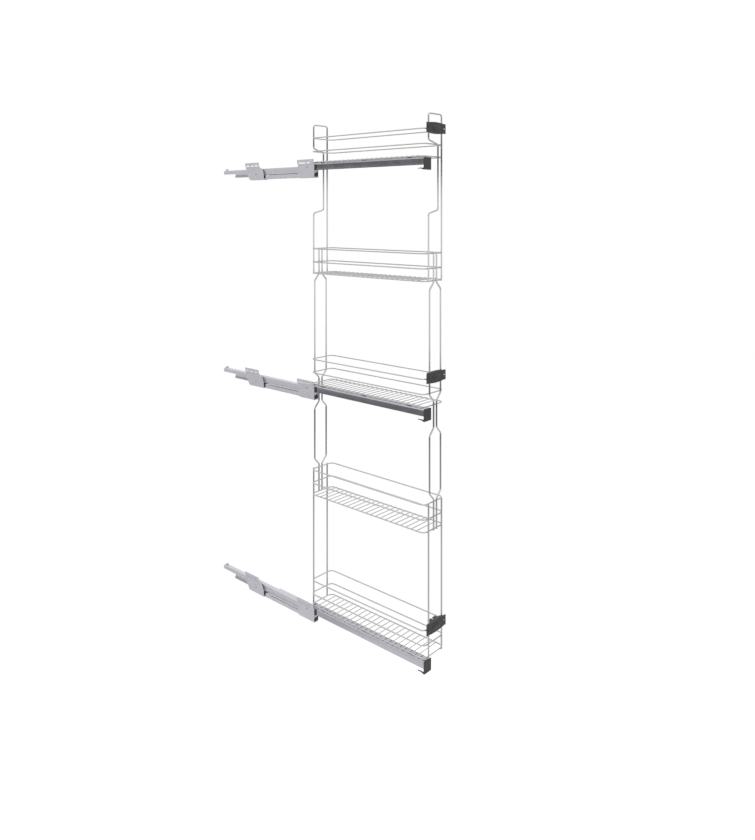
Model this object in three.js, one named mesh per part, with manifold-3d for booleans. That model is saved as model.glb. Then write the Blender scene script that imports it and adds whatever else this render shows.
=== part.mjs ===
// Pull-out larder unit for a narrow 150 mm kitchen cabinet, shown pulled right out.
//
// Three telescopic runners are screwed to one side wall of the cabinet. They carry a tall,
// narrow tower of five wire baskets, held together at both ends by bent wire frames. Three
// brackets on the front frames take the door. Everything that the runners carry slides back
// by TRAVEL when the door is pushed shut.
//
// Millimetres. X runs from the cabinet wall (x = 0) across the cabinet, Y runs from the door
// to the back of the cabinet, and Z is up. The origin is the middle of the screw flange of
// the lowest front bracket, on the face that touches the wall.

import * as THREE from 'three';
import { mergeVertices } from 'three/addons/utils/BufferGeometryUtils.js';
import Module from 'manifold-3d';

const wasm = await Module();
wasm.setup();

// ---------------------------------------------------------------- driving dimensions

const CABINET_INNER_WIDTH = 119;
const TRAVEL = 440;
const BASKET_COUNT = 5;
const LEVEL_PITCH = 364.4; // from one basket floor to the next
const TOUCH_GAP = 0.1; // left between welded or seated pieces
const SLIDE_GAP = 0.4; // left between pieces that slide past each other

// wires
const RAIL_WIRE = 4; // basket rails
const FLOOR_WIRE = 2.8; // cross wires of a basket floor
const FRAME_WIRE = 5; // end frames
const WIRE_SIDES = 6;
const FLOOR_WIRE_SIDES = 4;
const CORNER_STEPS = 3; // facets in each bend of a basket rail
const FRAME_STEPS = 2; // and in each bend of an end frame

// baskets, measured on the centre line of their rails
const BASKET_LENGTH = 470.8;
const BASKET_WIDTH = 94.5;
const BASKET_CORNER = 16;
const MIDDLE_RAIL_RISE = 36.5;
const TOP_RAIL_RISE = 80.5;
const FLOOR_PITCH = 20;
const FLOOR_END_MARGIN = 25; // least distance from the end rail to the first cross wire
const FLOOR_WELD_BITE = 1.2; // how far a cross wire is pressed into the rail

// end frames
const FRAME_SPREAD = 62.8; // between the two legs of the upper and lower frames
const MIDDLE_SPREAD = 53; // between the two wires of the middle frame
const NARROW_SPREAD = 14.2; // where the middle wires draw together to pass a basket
const FRAME_BEND = 8;
const HOOP_RISE = 45; // above the top rail of the top basket
const HOOP_CORNER = 7.5;
const HOOP_JOG_X = 14; // the near leg stands this far beyond the middle while it passes the runner
const HOOP_JOG_TOP = 47.5; // where the jog starts, above the top basket's floor
const HOOP_JOG_BOTTOM = -156; // and where it ends, below that floor
const HOOP_JOG_RUN = 11; // height of each slanted stretch
const NECK_RUN = 20; // height of each slanted stretch of a middle wire
const NECK_BELOW_FLOOR = 5; // from a basket floor down to where the wires spread again
const NECK_RUNNER_ABOVE = 13; // the wires are narrow from here above the middle floor
const NECK_RUNNER_BELOW = 66.5; // to here below it
const NECK_ABOVE_RAIL = 8.7; // and from here above the top rail of the lower basket
const WIRE_TAIL = 2; // frame wires end this far past the centre of the last rail
const REAR_FRAME_INSET = 27; // the rear frame stays this far inside the cabinet when pulled out

// runner: heights are given from the centre of the basket floor rail above it
const SHEET = 1.5;
const SHEET_FOLD = 0.95; // bend radius of a fold, on the middle of the sheet
const COVER_FOLD = 2.2; // and of the moving rail, whose edges are rounder
const PLATE_STANDOFF = 4; // the bracket plates stand off the wall by this
const CARRIAGE_RAIL_X = 7.6; // near face of the rail that moves
const CARRIAGE_RAIL_WIDTH = 30.8;
const CARRIAGE_RAIL_TOP = -4;
const CARRIAGE_RAIL_DEPTH = 20.5;
const CARRIAGE_RAIL_FRONT = 2; // its front end stands this far behind the front frame wires
const CARRIAGE_RAIL_BACK = 2; // its back end stands this far before the rear frame wires
const SEAT_LENGTH = 14; // pads that the basket floor is welded down on
const SEAT_WIDTH = 7;
const SEAT_INSET = 57; // from each end of the moving rail
const FIXED_RAIL_X = 10.6; // near face of the fixed rail's upper part
const FIXED_RAIL_WIDTH = 13;
const FIXED_RAIL_TOP = -11;
const FIXED_RAIL_DEPTH = 37.5;
const FIXED_RAIL_LENGTH = 417; // its upper track runs on past this
const TRACK_DEPTH = 13.5;
const LEDGE_DROP = 20; // from the top of the fixed rail to the ledge where it widens
const FAR_WALL_GAP = 1; // from the channel's far wall up to the track
const CHANNEL_INSET = 20; // the channel ends this far before the rear bracket's back edge
const RELIEF_AHEAD = 8; // the channel's near side is slotted from here before the rear bracket
const RELIEF_BEHIND = 2; // to here behind its front edge
const RELIEF_TAPER = 17; // and the slot tapers forwards along the ledge
const RELIEF_TAPER_HEIGHT = 2.5;
const STOP_HEIGHT = 6; // the tab that stops the moving rail at the back
const STOP_THICKNESS = 2;
const STOP_CLEARANCE = 10; // from the moving rail to the stop when the door is shut
const STOP_INSET = 10; // from the stop to the end of the track
const MIDDLE_MEMBER_LENGTH = 425;
const MIDDLE_MEMBER_LEAD = 3; // it stands this far out of the fixed rail when the door is shut
const MIDDLE_MEMBER_SHEET = 1.2;
const MEMBER_WEB_CLEARANCE = 1.75; // between the mouth of each track and the member's web
const MEMBER_EDGE_CLEARANCE = 0.9; // between the member's edges and a cage
const ROLLER = 2.2;
const ROLLER_LENGTH = 4;
const ROLLER_PITCH = 24;
const ROLLERS_PER_ROW = 3;
const CAGE_SHEET = 0.6;
const CAGE_LENGTH = 130;
const CAGE_MARGIN = 4; // a cage is wider than its rollers by this
const FIXED_CAGE_START = 47; // behind the front edge of the fixed rail
const MOVING_CAGE_START = 50; // behind the front end of the middle member

// brackets that screw to the wall
const FRONT_BRACKET_LENGTH = 78;
const REAR_BRACKET_LENGTH = 97;
const REAR_BRACKET_START = 253; // from the front edge of the fixed rail
const REAR_FLANGE_LENGTH = 73;
const FLANGE_TOP = 10.5;
const FLANGE_HEIGHT = 9.5;
const WINDOW_HEIGHT = 7;
const WINDOW_TAB = 4.5;
const FRONT_WINDOWS = [35, 16.5]; // lengths of the windows, from the back of the bracket
const REAR_WINDOWS = [18.3, 18.3, 18.3];
const PLATE_CORNER = 9;
const REAR_CHAMFER = [22, 31]; // length and height of the corner cut off the rear plate
const REAR_CURVE_PULL = [6, 4]; // the curved front edge bends towards a point this far inside its corner
const REAR_CURVE_RISE = 16; // and starts this high above the foot
const FOOT_DROP = 0.3; // gap between the foot flange and the rail that it carries
const SCREW_HOLE = 5;
const FRONT_HOLE = [34, -15]; // behind the front edge of the plate, and its height
const REAR_HOLE = [42, -30.5];
const FLANGE_HOLE = 4;
const HOLE_SIDES = 8;
const FLANGE_HOLE_INSET = 14; // from each end of the flange

// plastic parts of the runner
const CAP_TOP = -4;
const CAP_DEPTH = 36;
const CAP_THICKNESS = 2.5;
const CAP_OVERHANG = 0.4; // the cap stands out past the near face of its rail
const CAP_FAR_OVERHANG = 1.8; // and past the far face
const CAP_CORNER = 2.5;
const CAP_PLUG_DEPTH = 9;
const HOOK_LENGTH = 23;
const HOOK_RUN = 11; // the hook rises over this length, then runs level
const HOOK_RISE = 3.3;
const HOOK_ROOT = 6.5;
const HOOK_THICKNESS = 1.9;
const HOOK_BARB = 1.6;
const HOOK_WIDTH = 2.5;
const GUIDE_RIM = 1.6; // the front guide stands this far out of the fixed rail
const GUIDE_STRIP_REACH = 6.5; // and its strip beside the moving rail this far
const GUIDE_DEPTH = 14; // it reaches this far into the rail
const GUIDE_WIDTH = 10.3;
const GUIDE_WALL = 1.6;
const GUIDE_HEIGHT = 12;
const DAMPER_LENGTH = 140;
const DAMPER_OVERHANG = 1; // behind the end of the fixed rail's web
const DAMPER_WIDTH = 12;
const DAMPER_HEIGHT = 6; // inside the channel
const DAMPER_CORNER = 1.5;

// door brackets
const DOOR_BRACKET_HEIGHT = 34;
const DOOR_BRACKET_BODY = 71;
const DOOR_EAR_WIDTH = 9.5;
const DOOR_EAR_HEIGHT = 29;
const DOOR_EAR_THICKNESS = 3;
const DOOR_BODY_DEPTH = 9.5;
const DOOR_BODY_CROWN = 2.5;
const DOOR_DOME_REACH = 0.62; // share of the body that the raised middle of its front covers
const DOOR_DOME_HEIGHT = 3;
const DOOR_SLOT_HEIGHT = 4.5;
const DOOR_SLOT_LENGTH = 6.2;
const DOOR_SLOT_RIM = 2.6; // from a slot to the end of the ear
const DOOR_BRACKET_RISE = 3; // its middle lies this far above the top rail

// ---------------------------------------------------------------- places that follow from them

const centreX = CABINET_INNER_WIDTH / 2;
const nearRailX = centreX - BASKET_WIDTH / 2;
const cabinetFrontY = -FRONT_BRACKET_LENGTH / 2;
const rearWireY = cabinetFrontY + REAR_FRAME_INSET;
const weldOffset = (FRAME_WIRE + RAIL_WIRE) / 2 + TOUCH_GAP;
const basketBackY = rearWireY - weldOffset;
const basketFrontY = basketBackY - BASKET_LENGTH;
const frontWireY = basketFrontY - weldOffset;
const floorZ = (level) => -(FLANGE_TOP - FLANGE_HEIGHT / 2) + level * LEVEL_PITCH;
const runnerLevels = { lower: 0, middle: Math.floor(BASKET_COUNT / 2), upper: BASKET_COUNT - 1 };
const topLevel = BASKET_COUNT - 1;
const secondLevel = 1;
const fourthLevel = BASKET_COUNT - 2;
const middleLevel = runnerLevels.middle;

// ---------------------------------------------------------------- materials

const finish = (color, roughness, metalness) =>
  new THREE.MeshStandardMaterial({ color, roughness, metalness });
const chromeWire = finish(0xb9babd, 0.22, 1);
const zincSheet = finish(0xb0afb8, 0.38, 0.9);
const brightRail = finish(0xa09fa8, 0.3, 0.95);
const hardenedSteel = finish(0xc4c6c8, 0.25, 1);
const greyPlastic = finish(0x97969c, 0.5, 0);
const anthracitePlastic = finish(0x3c3c3f, 0.55, 0);

// ---------------------------------------------------------------- solids

/** Makes a closed solid from a three.js geometry. */
function solidOf(geometry) {
  const bare = geometry.index ? geometry.toNonIndexed() : geometry.clone();
  bare.deleteAttribute('normal');
  bare.deleteAttribute('uv');
  const merged = mergeVertices(bare, 1e-4);
  const vertProperties = new Float32Array(merged.attributes.position.array);
  const triVerts = new Uint32Array(merged.index.array);
  return new wasm.Manifold(new wasm.Mesh({ numProp: 3, vertProperties, triVerts }));
}

/** Turns a solid back into a three.js geometry. */
function geometryOf(solid) {
  const mesh = solid.getMesh();
  const geometry = new THREE.BufferGeometry();
  geometry.setAttribute('position', new THREE.BufferAttribute(mesh.vertProperties, 3));
  geometry.setIndex(new THREE.BufferAttribute(mesh.triVerts, 1));
  geometry.computeVertexNormals();
  return geometry;
}

const joined = (geometries) => geometries.map(solidOf).reduce((whole, next) => whole.add(next));

/** Moves every vertex of a geometry to the place that its old place gives. */
function reshape(geometry, place) {
  const { position } = geometry.attributes;
  for (let i = 0; i < position.count; i++) {
    position.setXYZ(i, ...place(position.getX(i), position.getY(i), position.getZ(i)));
  }
  return geometry;
}

/** A box given by its lowest and highest corners. */
function block(low, high) {
  return reshape(new THREE.BoxGeometry(1, 1, 1), (...corner) =>
    corner.map((value, i) => (value < 0 ? low[i] : high[i])),
  );
}

/** Rounds the corners of a path, and gives each point with the direction of the path there. */
function roundCorners(corners, radius, steps, closed) {
  const count = corners.length;
  const stations = [];
  corners.forEach((corner, i) => {
    const before = corners[(i + count - 1) % count];
    const after = corners[(i + 1) % count];
    const cameFrom = corner.clone().sub(before).normalize();
    const goesTo = after.clone().sub(corner).normalize();
    const turn = cameFrom.angleTo(goesTo);
    if (!closed && i === 0) {
      stations.push({ point: corner, direction: goesTo });
    } else if (!closed && i === count - 1) {
      stations.push({ point: corner, direction: cameFrom });
    } else {
      const reach = radius * Math.tan(turn / 2);
      const start = corner.clone().addScaledVector(cameFrom, -reach);
      const inward = goesTo.clone().addScaledVector(cameFrom, -goesTo.dot(cameFrom)).normalize();
      for (let step = 0; step <= steps; step++) {
        const angle = (turn * step) / steps;
        const point = start.clone();
        point.addScaledVector(cameFrom, radius * Math.sin(angle));
        point.addScaledVector(inward, radius * (1 - Math.cos(angle)));
        const direction = cameFrom.clone().multiplyScalar(Math.cos(angle));
        direction.addScaledVector(inward, Math.sin(angle));
        stations.push({ point, direction });
      }
    }
  });
  if (closed) {
    stations.push(stations[0]);
  }
  return stations;
}

/** The centre line of a bent wire: one step for each point where its direction is known. */
class BentLine extends THREE.Curve {
  constructor(stations) {
    super();
    this.stations = stations;
    this.steps = stations.length - 1;
  }

  getPointAt(u) {
    return this.stations[Math.round(u * this.steps)].point.clone();
  }

  getTangentAt(u) {
    return this.stations[Math.round(u * this.steps)].direction.clone();
  }
}

/** A wire bent along corner points, with flat ends. */
function bentWire(corners, diameter, bendRadius) {
  const line = new BentLine(roundCorners(corners, bendRadius, FRAME_STEPS, false));
  const section = new THREE.Shape();
  for (let i = 0; i < WIRE_SIDES; i++) {
    const angle = (2 * Math.PI * i) / WIRE_SIDES;
    const x = (diameter / 2) * Math.cos(angle);
    const y = (diameter / 2) * Math.sin(angle);
    if (i === 0) {
      section.moveTo(x, y);
    } else {
      section.lineTo(x, y);
    }
  }
  return new THREE.ExtrudeGeometry(section, { steps: line.steps, extrudePath: line });
}

/** A wire bent round into a level ring, its ends butt-welded: eight sides, four of them bevels. */
function wireRing(corners, diameter, bendRadius) {
  const side = diameter * Math.sin(Math.PI / 8);
  const bevel = (diameter * Math.cos(Math.PI / 8) - side) / 2;
  const stations = roundCorners(corners, bendRadius, CORNER_STEPS, true).slice(0, -1);
  const edge = (offset) =>
    stations.map(({ point, direction }) => {
      const outward = new THREE.Vector2(direction.y, -direction.x).multiplyScalar(offset);
      return new THREE.Vector2(point.x, point.y).add(outward);
    });
  const ring = new THREE.Shape(edge(side / 2));
  ring.holes.push(new THREE.Path(edge(-side / 2)));
  const options = { depth: side, bevelSize: bevel, bevelThickness: bevel, bevelSegments: 1 };
  return new THREE.ExtrudeGeometry(ring, options).translate(0, 0, corners[0].z - side / 2);
}

/** A length along Y of a section drawn in X and Z. */
function alongY(section, startY, endY) {
  const solid = new THREE.ExtrudeGeometry(section, { depth: 1, bevelEnabled: false, curveSegments: 6 });
  return reshape(solid, (x, y, depth) => [x, depth < 0.5 ? endY : startY, y]);
}

/** A width along X of an outline drawn in Y and Z. */
function alongX(outline, startX, endX) {
  const solid = new THREE.ExtrudeGeometry(outline, { depth: 1, bevelEnabled: false, curveSegments: 6 });
  return reshape(solid, (x, y, depth) => [depth < 0.5 ? startX : endX, x, y]);
}

/** The section of a folded sheet, from the corners of its middle line. */
function foldedSheet(corners, thickness, bendRadius) {
  const line = corners.map(([x, z]) => new THREE.Vector3(x, z, 0));
  const stations = roundCorners(line, bendRadius, 1, false);
  const side = (sign) =>
    stations.map(({ point, direction }) => {
      const across = new THREE.Vector2(-direction.y, direction.x).multiplyScalar((sign * thickness) / 2);
      return new THREE.Vector2(point.x, point.y).add(across);
    });
  return new THREE.Shape([...side(1), ...side(-1).reverse()]);
}

const unit = new THREE.Group();

function add(name, geometry, material) {
  const mesh = new THREE.Mesh(geometry, material.clone());
  mesh.name = name;
  unit.add(mesh);
}

// ---------------------------------------------------------------- wire baskets

/** The corners of a basket rail at one height. */
function railCorners(z) {
  const halfWidth = BASKET_WIDTH / 2;
  return [
    new THREE.Vector3(centreX - halfWidth, basketFrontY, z),
    new THREE.Vector3(centreX + halfWidth, basketFrontY, z),
    new THREE.Vector3(centreX + halfWidth, basketBackY, z),
    new THREE.Vector3(centreX - halfWidth, basketBackY, z),
  ];
}

const basketRail = (z) => wireRing(railCorners(z), RAIL_WIRE, BASKET_CORNER);

/** Even places of the cross wires, centred on the basket. */
function floorWirePlaces() {
  const count = Math.floor((BASKET_LENGTH - 2 * FLOOR_END_MARGIN) / FLOOR_PITCH) + 1;
  const first = (basketFrontY + basketBackY - (count - 1) * FLOOR_PITCH) / 2;
  return Array.from({ length: count }, (_, i) => first + i * FLOOR_PITCH);
}

/** A basket floor: the lowest rail with the cross wires welded on top of it. */
function basketFloor(z) {
  const crossWireZ = z + (RAIL_WIRE + FLOOR_WIRE) / 2 - FLOOR_WELD_BITE;
  const crossWires = floorWirePlaces().map((y) =>
    new THREE.CylinderGeometry(FLOOR_WIRE / 2, FLOOR_WIRE / 2, BASKET_WIDTH, FLOOR_WIRE_SIDES)
      .rotateZ(Math.PI / 2)
      .translate(centreX, y, crossWireZ),
  );
  return geometryOf(joined([basketRail(z), ...crossWires]));
}

for (let level = 0; level < BASKET_COUNT; level++) {
  const name = `basket_${level + 1}`;
  add(`${name}_floor`, basketFloor(floorZ(level)), chromeWire);
  add(`${name}_middle_rail`, basketRail(floorZ(level) + MIDDLE_RAIL_RISE), chromeWire);
  add(`${name}_top_rail`, basketRail(floorZ(level) + TOP_RAIL_RISE), chromeWire);
}

// ---------------------------------------------------------------- end frames

/** The upper frame: one wire bent into a hoop, whose near leg steps aside for the runner. */
function hoop(y) {
  const near = centreX - FRAME_SPREAD / 2;
  const far = centreX + FRAME_SPREAD / 2;
  const aside = centreX + HOOP_JOG_X;
  const top = floorZ(topLevel) + TOP_RAIL_RISE + HOOP_RISE;
  const jogTop = floorZ(topLevel) + HOOP_JOG_TOP;
  const jogBottom = floorZ(topLevel) + HOOP_JOG_BOTTOM;
  const end = floorZ(fourthLevel) - WIRE_TAIL;
  const path = [
    [far, end],
    [far, top],
    [near, top],
    [near, jogTop],
    [aside, jogTop - HOOP_JOG_RUN],
    [aside, jogBottom],
    [near, jogBottom - HOOP_JOG_RUN],
    [near, end],
  ];
  return bentWire(path.map(([x, z]) => new THREE.Vector3(x, y, z)), FRAME_WIRE, HOOP_CORNER);
}

/** One wire of the middle frame. side is -1 for the wire nearer the wall, and 1 for the other. */
function middleWire(y, side) {
  const wide = centreX + (side * MIDDLE_SPREAD) / 2;
  const narrow = centreX + (side * NARROW_SPREAD) / 2;
  const upperNeck = floorZ(fourthLevel) - NECK_BELOW_FLOOR;
  const runnerNeckTop = floorZ(middleLevel) + NECK_RUNNER_ABOVE;
  const runnerNeckEnd = floorZ(middleLevel) - NECK_RUNNER_BELOW;
  const lowerNeck = floorZ(secondLevel) + TOP_RAIL_RISE + NECK_ABOVE_RAIL;
  const path = [
    [narrow, floorZ(fourthLevel) + TOP_RAIL_RISE + WIRE_TAIL],
    [narrow, upperNeck],
    [wide, upperNeck - NECK_RUN],
    [wide, runnerNeckTop + NECK_RUN],
    [narrow, runnerNeckTop],
    [narrow, runnerNeckEnd],
    [wide, runnerNeckEnd - NECK_RUN],
    [wide, lowerNeck + NECK_RUN],
    [narrow, lowerNeck],
    [narrow, floorZ(secondLevel) - WIRE_TAIL],
  ];
  return bentWire(path.map(([x, z]) => new THREE.Vector3(x, y, z)), FRAME_WIRE, FRAME_BEND);
}

/** One straight wire of the lower frame. */
function lowerWire(y, side) {
  const x = centreX + (side * FRAME_SPREAD) / 2;
  const top = floorZ(secondLevel) + TOP_RAIL_RISE + WIRE_TAIL;
  const bottom = floorZ(0) - WIRE_TAIL;
  return bentWire([new THREE.Vector3(x, y, top), new THREE.Vector3(x, y, bottom)], FRAME_WIRE, 0);
}

for (const [end, y] of [['front', frontWireY], ['rear', rearWireY]]) {
  add(`${end}_hoop`, hoop(y), chromeWire);
  for (const [side, sign] of [['near', -1], ['far', 1]]) {
    add(`${end}_middle_wire_${side}`, middleWire(y, sign), chromeWire);
    add(`${end}_lower_wire_${side}`, lowerWire(y, sign), chromeWire);
  }
}

// ---------------------------------------------------------------- runners

const trackTop = FIXED_RAIL_TOP - SHEET;
const trackBottom = FIXED_RAIL_TOP - TRACK_DEPTH + SHEET;
const fixedWebX = FIXED_RAIL_X + SHEET;
const fixedFarX = FIXED_RAIL_X + FIXED_RAIL_WIDTH;
const fixedBottom = FIXED_RAIL_TOP - FIXED_RAIL_DEPTH;
const ledge = FIXED_RAIL_TOP - LEDGE_DROP;
const channelX = PLATE_STANDOFF + SHEET + TOUCH_GAP;
const rearBracketY = cabinetFrontY + REAR_BRACKET_START;
const channelEndY = rearBracketY + REAR_BRACKET_LENGTH - CHANNEL_INSET;
const fixedEndY = cabinetFrontY + FIXED_RAIL_LENGTH;
const carriageFrontY = frontWireY + CARRIAGE_RAIL_FRONT;
const carriageBackY = rearWireY - CARRIAGE_RAIL_BACK;
const stopY = carriageBackY + TRAVEL + STOP_CLEARANCE;
const trackEndY = stopY + STOP_THICKNESS + STOP_INSET;
const memberStartY = cabinetFrontY - TRAVEL / 2 - MIDDLE_MEMBER_LEAD;
const capX = CARRIAGE_RAIL_X - CAP_OVERHANG;
const capFarX = CARRIAGE_RAIL_X + CARRIAGE_RAIL_WIDTH + CAP_FAR_OVERHANG;
const capBottom = CAP_TOP - CAP_DEPTH;
const hookX = channelX + SHEET + 2 * SLIDE_GAP;
const carriageWebX = CARRIAGE_RAIL_X + CARRIAGE_RAIL_WIDTH - SHEET;
const carriageBottom = CARRIAGE_RAIL_TOP - CARRIAGE_RAIL_DEPTH;
const memberWebX = fixedFarX + MEMBER_WEB_CLEARANCE;
const carriageTrackX = memberWebX + MIDDLE_MEMBER_SHEET + MEMBER_WEB_CLEARANCE;
const raceGap = ROLLER + TOUCH_GAP;
const memberTop = trackTop - raceGap;
const memberBottom = trackBottom + raceGap;
const memberInset = CAGE_SHEET + 3 * TOUCH_GAP + MEMBER_EDGE_CLEARANCE;

/** The slot in the channel's near side at the rear bracket, with a taper forwards along the ledge. */
function channelRelief() {
  const start = rearBracketY - RELIEF_AHEAD;
  const end = rearBracketY + RELIEF_BEHIND;
  const foot = fixedBottom + 2 * SHEET;
  const side = new THREE.Shape();
  side.moveTo(start, foot);
  side.lineTo(end, foot);
  side.lineTo(end, ledge + SHEET);
  side.lineTo(start, ledge + SHEET);
  side.lineTo(start - RELIEF_TAPER, ledge);
  side.lineTo(start, ledge - RELIEF_TAPER_HEIGHT);
  return alongX(side, channelX - SHEET, FIXED_RAIL_X - TOUCH_GAP);
}

/** The rail fixed to the brackets: a narrow open track above, and a wider channel below it. */
function fixedRail(z) {
  const mid = SHEET / 2;
  const near = FIXED_RAIL_X + mid;
  const far = fixedFarX - mid;
  const top = FIXED_RAIL_TOP - mid;
  const wide = channelX + mid;
  const bottom = fixedBottom + mid;
  const wallTop = trackBottom - SHEET - FAR_WALL_GAP;
  const section = foldedSheet(
    [
      [fixedFarX, top],
      [near, top],
      [near, ledge],
      [wide, ledge],
      [wide, bottom],
      [far, bottom],
      [far, wallTop],
    ],
    SHEET,
    SHEET_FOLD,
  );
  const lowX = channelX - SHEET;
  const lowZ = fixedBottom - SHEET;
  const highX = fixedFarX + SHEET;
  const pastEnd = trackEndY + SHEET;
  const behindChannel = block([lowX, channelEndY, lowZ], [highX, pastEnd, ledge + SHEET]);
  const farWallCut = wallTop + FAR_WALL_GAP / 2;
  const behindFarWall = block([(near + far) / 2, channelEndY, lowZ], [highX, pastEnd, farWallCut]);
  const behindWeb = block([lowX, fixedEndY, lowZ], [highX, pastEnd, trackBottom - mid]);
  const shelf = block([near, cabinetFrontY, trackBottom - SHEET], [fixedFarX, trackEndY, trackBottom]);
  const stopTop = FIXED_RAIL_TOP + STOP_HEIGHT;
  const rearStop = block([near + mid, stopY, top], [far - mid, stopY + STOP_THICKNESS, stopTop]);
  const cuts = [behindChannel, behindFarWall, behindWeb, channelRelief()].map(solidOf);
  const folded = solidOf(alongY(section, cabinetFrontY, trackEndY));
  const cut = cuts.reduce((rail, next) => rail.subtract(next), folded);
  return geometryOf(cut.add(solidOf(shelf)).add(solidOf(rearStop))).translate(0, 0, z);
}

/** The member between the fixed rail and the carriage rail: a flat I, half in each track. */
function middleMember(z) {
  const left = fixedWebX + memberInset;
  const right = carriageWebX - memberInset;
  const outline = new THREE.Shape(
    [
      [left, memberBottom],
      [right, memberBottom],
      [right, memberBottom + MIDDLE_MEMBER_SHEET],
      [memberWebX + MIDDLE_MEMBER_SHEET, memberBottom + MIDDLE_MEMBER_SHEET],
      [memberWebX + MIDDLE_MEMBER_SHEET, memberTop - MIDDLE_MEMBER_SHEET],
      [right, memberTop - MIDDLE_MEMBER_SHEET],
      [right, memberTop],
      [left, memberTop],
      [left, memberTop - MIDDLE_MEMBER_SHEET],
      [memberWebX, memberTop - MIDDLE_MEMBER_SHEET],
      [memberWebX, memberBottom + MIDDLE_MEMBER_SHEET],
      [left, memberBottom + MIDDLE_MEMBER_SHEET],
    ].map(([x, y]) => new THREE.Vector2(x, y)),
  );
  return alongY(outline, memberStartY, memberStartY + MIDDLE_MEMBER_LENGTH).translate(0, 0, z);
}

/** A roller cage: a thin strip folded round the edge of the middle member, with two rows of rollers. */
function rollerCage(z, webX, direction, startY) {
  const web = webX + direction * (CAGE_SHEET / 2 + 2 * TOUCH_GAP);
  const mouth = web + direction * (ROLLER_LENGTH + CAGE_MARGIN);
  const upper = trackTop - raceGap / 2;
  const lower = trackBottom + raceGap / 2;
  const corners = [[mouth, upper], [web, upper], [web, lower], [mouth, lower]];
  const strip = foldedSheet(corners, CAGE_SHEET, CAGE_SHEET);
  const rollerX = (web + mouth) / 2;
  const firstRoller = startY + (CAGE_LENGTH - (ROLLERS_PER_ROW - 1) * ROLLER_PITCH) / 2;
  const rollers = [];
  for (let i = 0; i < ROLLERS_PER_ROW; i++) {
    for (const height of [upper, lower]) {
      rollers.push(
        new THREE.CylinderGeometry(ROLLER / 2, ROLLER / 2, ROLLER_LENGTH, WIRE_SIDES)
          .rotateZ(Math.PI / 2)
          .translate(rollerX, firstRoller + i * ROLLER_PITCH, height),
      );
    }
  }
  return geometryOf(joined([alongY(strip, startY, startY + CAGE_LENGTH), ...rollers])).translate(0, 0, z);
}

/** The rail that moves: a cover folded over the others, with an open track on its far side. */
function carriageRail(z) {
  const mid = SHEET / 2;
  const near = CARRIAGE_RAIL_X + mid;
  const far = carriageWebX + mid;
  const cover = foldedSheet(
    [
      [near, carriageBottom],
      [near, CARRIAGE_RAIL_TOP - mid],
      [far, CARRIAGE_RAIL_TOP - mid],
      [far, trackBottom - mid],
      [carriageTrackX, trackBottom - mid],
    ],
    SHEET,
    COVER_FOLD,
  );
  const upperFlange = block(
    [carriageTrackX, carriageFrontY, trackTop],
    [far, carriageBackY, FIXED_RAIL_TOP],
  );
  const seatX = CARRIAGE_RAIL_X + COVER_FOLD;
  const seatTop = -RAIL_WIRE / 2 - TOUCH_GAP;
  const middleY = (carriageFrontY + carriageBackY) / 2;
  const seatPlaces = [carriageFrontY + SEAT_INSET, middleY, carriageBackY - SEAT_INSET];
  const seats = seatPlaces.map((y) =>
    block(
      [seatX, y - SEAT_LENGTH / 2, CARRIAGE_RAIL_TOP - mid],
      [seatX + SEAT_WIDTH, y + SEAT_LENGTH / 2, seatTop],
    ),
  );
  const folded = alongY(cover, carriageFrontY, carriageBackY);
  return geometryOf(joined([folded, upperFlange, ...seats])).translate(0, 0, z);
}

// ---------------------------------------------------------------- wall brackets

const footTop = fixedBottom - FOOT_DROP;
const footBottom = footTop - SHEET;
const flangeBottom = FLANGE_TOP - FLANGE_HEIGHT;
const flangeMiddle = FLANGE_TOP - FLANGE_HEIGHT / 2;
const windowBottom = flangeBottom - WINDOW_HEIGHT;

/** The sheet of a bracket: screw flange on the wall, step, plate beside the rails, foot under them. */
function bracketSheet(startY, endY) {
  const mid = SHEET / 2;
  const plateX = PLATE_STANDOFF + mid;
  const section = foldedSheet(
    [
      [mid, FLANGE_TOP],
      [mid, flangeBottom - mid],
      [plateX, windowBottom + mid],
      [plateX, footBottom + mid],
      [fixedFarX - SHEET, footBottom + mid],
    ],
    SHEET,
    SHEET_FOLD,
  );
  return alongY(section, startY, endY);
}

/** Windows between the screw flange and the plate, cut forwards from the back end of the flange. */
function flangeWindows(endY, lengths) {
  let back = endY - WINDOW_TAB;
  return lengths.map((length) => {
    const front = back - length;
    const window = block([-SHEET, front, windowBottom], [PLATE_STANDOFF + 3 * SHEET, back, flangeBottom]);
    back = front - WINDOW_TAB;
    return window;
  });
}

/** A round hole through a bracket's sheet, along X. */
const hole = (diameter, y, z) =>
  new THREE.CylinderGeometry(diameter / 2, diameter / 2, 2 * fixedFarX, HOLE_SIDES)
    .rotateZ(Math.PI / 2)
    .translate(0, y, z);

/** Cuts a bracket out of its folded sheet: side outline, windows, and holes in flange and plate. */
function bracket(z, outline, startY, endY, flangeStartY, windows, plateHole) {
  const shape = alongX(outline, -SHEET, fixedFarX + SHEET);
  const kept = solidOf(bracketSheet(startY, endY)).intersect(solidOf(shape));
  const cuts = [
    ...flangeWindows(endY, windows),
    hole(FLANGE_HOLE, flangeStartY + FLANGE_HOLE_INSET, flangeMiddle),
    hole(FLANGE_HOLE, endY - FLANGE_HOLE_INSET, flangeMiddle),
    hole(SCREW_HOLE, startY + plateHole[0], plateHole[1]),
  ];
  return geometryOf(cuts.map(solidOf).reduce((part, cut) => part.subtract(cut), kept)).translate(0, 0, z);
}

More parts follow.
